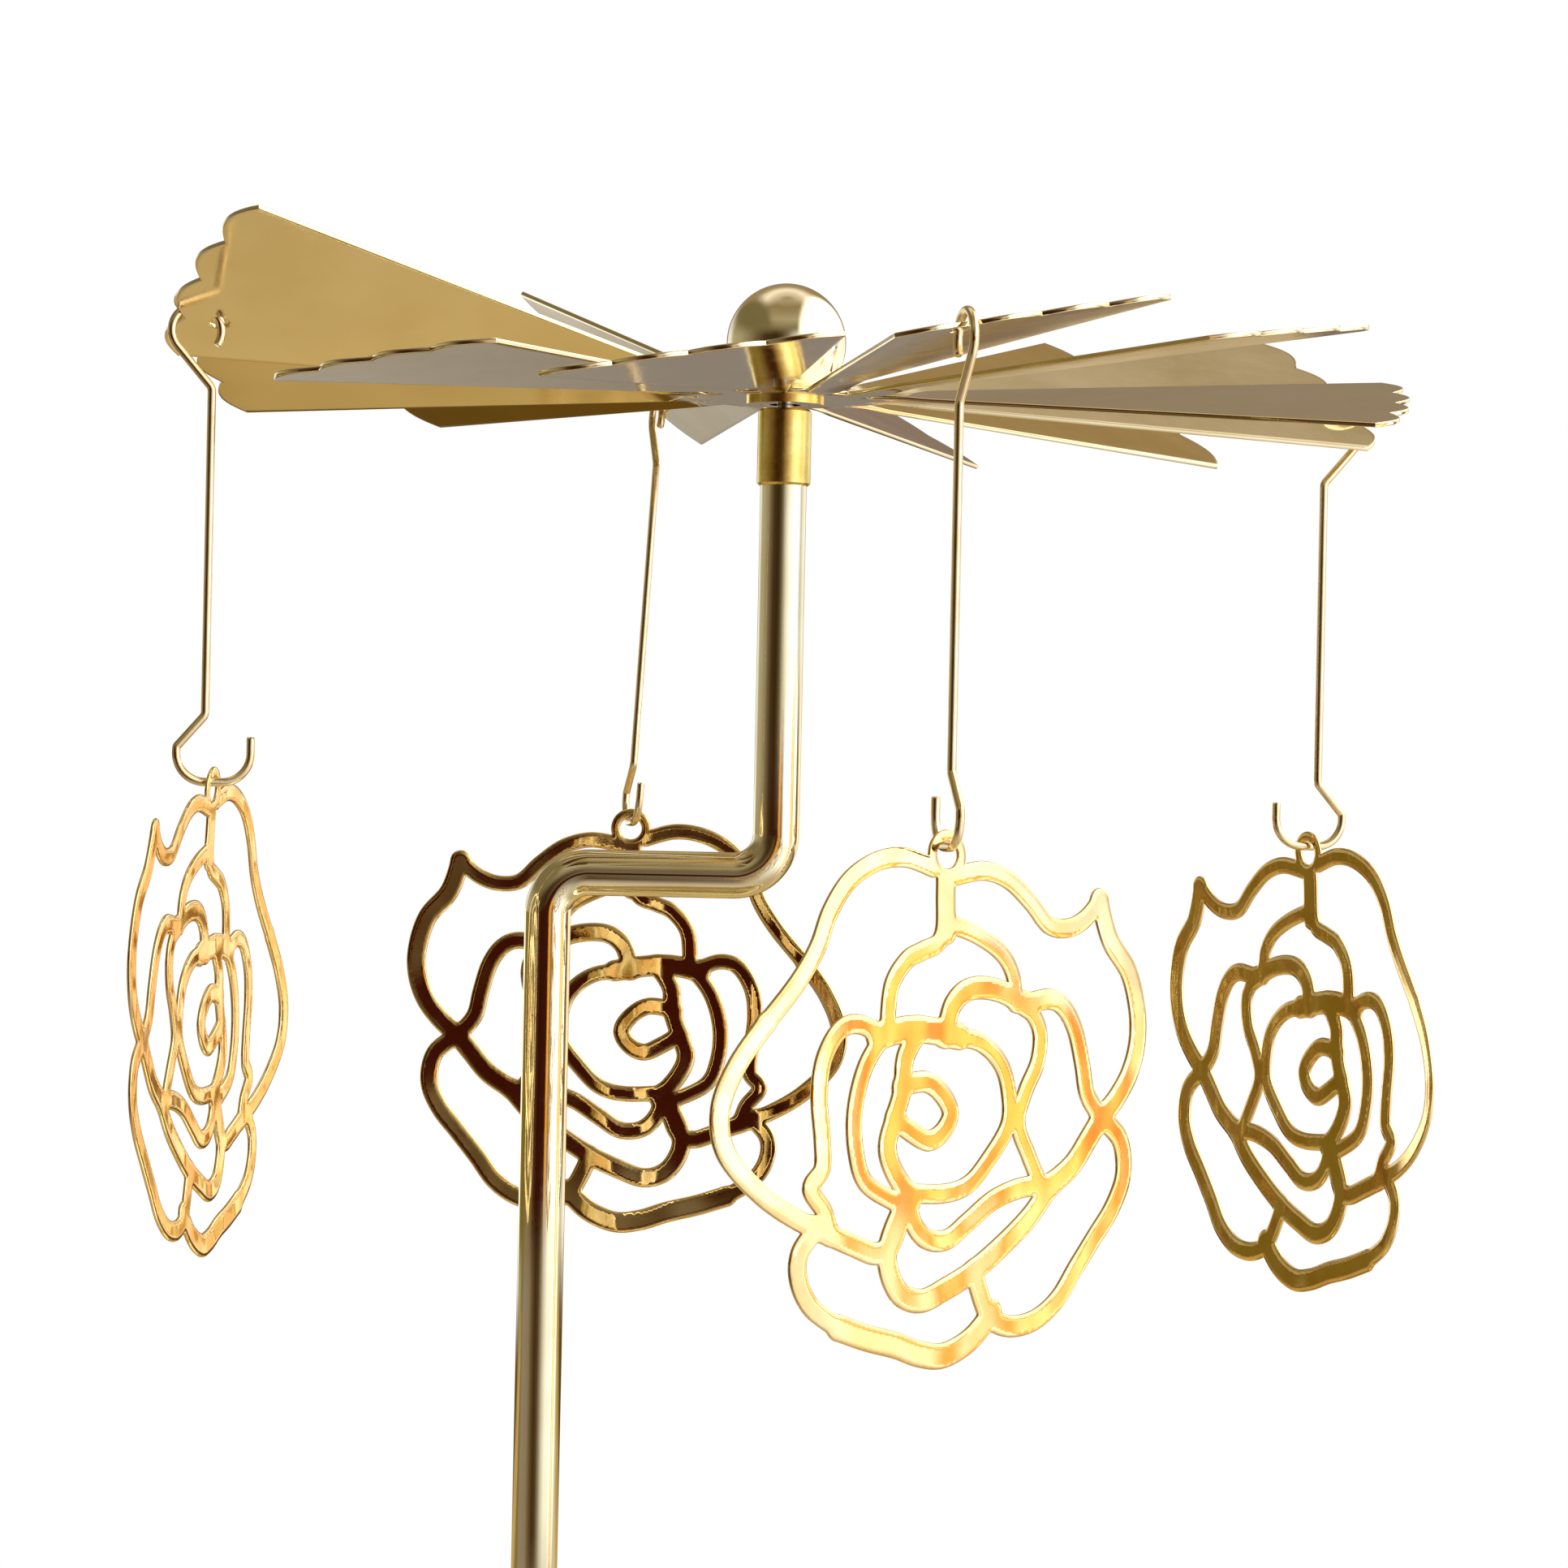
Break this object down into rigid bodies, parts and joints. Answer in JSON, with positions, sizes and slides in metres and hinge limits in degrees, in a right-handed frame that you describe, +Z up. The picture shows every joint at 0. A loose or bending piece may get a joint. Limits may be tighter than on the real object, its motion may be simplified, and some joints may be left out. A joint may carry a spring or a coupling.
{
  "type": "rotating candle holder",
  "caption": "Tealight holder on a round dish, with a cranked stem whose needle carries a bladed rotor that the warm air turns, and filigree roses hanging from the rotor on wire hooks",
  "frame": {"origin": "on the rotor's axis, on the top of the cup's floor, where a tealight stands; the feet reach the table at z = -5.7 mm", "axes": "+Z up along the rotor's axis; the stem's lower leg is on the -X side, and the picture looks along +Y"},
  "size_m": [0.1386, 0.1423, 0.1706],
  "materials": {
    "gold_plate": "polished gold plate",
    "gold_wire": "drawn, gold-plated wire",
    "bare_brass": "turned brass, a little darker",
    "steel": "plain steel",
    "rubber": "matt"
  },
  "bodies": {
    "base": {"base_tray": "gold_plate", "foot_pads": "rubber", "tealight_cup": "gold_plate", "cup_rivet": "gold_plate", "stem_rod": "gold_plate", "stem_washers": "steel", "stem_nut": "steel", "bearing_sleeve": "bare_brass", "pivot_needle": "steel"},
    "rotor": {"rotor_sheet": "gold_plate", "hub_knob": "gold_plate", "hub_clamp_ring": "bare_brass"},
    "hanger_right": {"hanger_wire_right": "gold_wire"},
    "rose_right": {"rose_charm_right": "gold_plate"},
    "hanger_back": {"hanger_wire_back": "gold_wire"},
    "rose_back": {"rose_charm_back": "gold_plate"},
    "hanger_left": {"hanger_wire_left": "gold_wire"},
    "rose_left": {"rose_charm_left": "gold_plate"},
    "hanger_front": {"hanger_wire_front": "gold_wire"},
    "rose_front": {"rose_charm_front": "gold_plate"}
  },
  "joints": [
    {"name": "rotor_spin", "type": "hinge", "parent": "base", "child": "rotor", "pos_m": [0, 0, 0.15618], "axis": [0, 0, 1], "continuous": true},
    {"name": "hanger_right_swing", "type": "hinge", "parent": "rotor", "child": "hanger_right", "pos_m": [0.06193, 0.01618, 0.14682], "axis": [0.2527, -0.9675, 0], "range_deg": [-12, 25]},
    {"name": "rose_right_swing", "type": "hinge", "parent": "hanger_right", "child": "rose_right", "pos_m": [0.05936, 0.01551, 0.10047], "axis": [0.9675, 0.2527, 0], "range_deg": [-25, 25]},
    {"name": "hanger_back_swing", "type": "hinge", "parent": "rotor", "child": "hanger_back", "pos_m": [-0.01556, 0.06191, 0.15091], "axis": [0.9698, 0.2438, 0], "range_deg": [-12, 25]},
    {"name": "rose_back_swing", "type": "hinge", "parent": "hanger_back", "child": "rose_back", "pos_m": [-0.0176, 0.05866, 0.10143], "axis": [-0.2438, 0.9698, 0], "range_deg": [-25, 25]},
    {"name": "hanger_left_swing", "type": "hinge", "parent": "rotor", "child": "hanger_left", "pos_m": [-0.06163, -0.01621, 0.15209], "axis": [-0.2544, 0.9671, 0], "range_deg": [-12, 25]},
    {"name": "rose_left_swing", "type": "hinge", "parent": "hanger_left", "child": "rose_left", "pos_m": [-0.05906, -0.01553, 0.10494], "axis": [-0.9671, -0.2544, 0], "range_deg": [-25, 25]},
    {"name": "hanger_front_swing", "type": "hinge", "parent": "rotor", "child": "hanger_front", "pos_m": [0.01697, -0.06169, 0.14821], "axis": [-0.9642, -0.2652, 0], "range_deg": [-12, 25]},
    {"name": "rose_front_swing", "type": "hinge", "parent": "hanger_front", "child": "rose_front", "pos_m": [0.01626, -0.05913, 0.10006], "axis": [0.2652, -0.9642, 0], "range_deg": [-25, 25]}
  ]
}
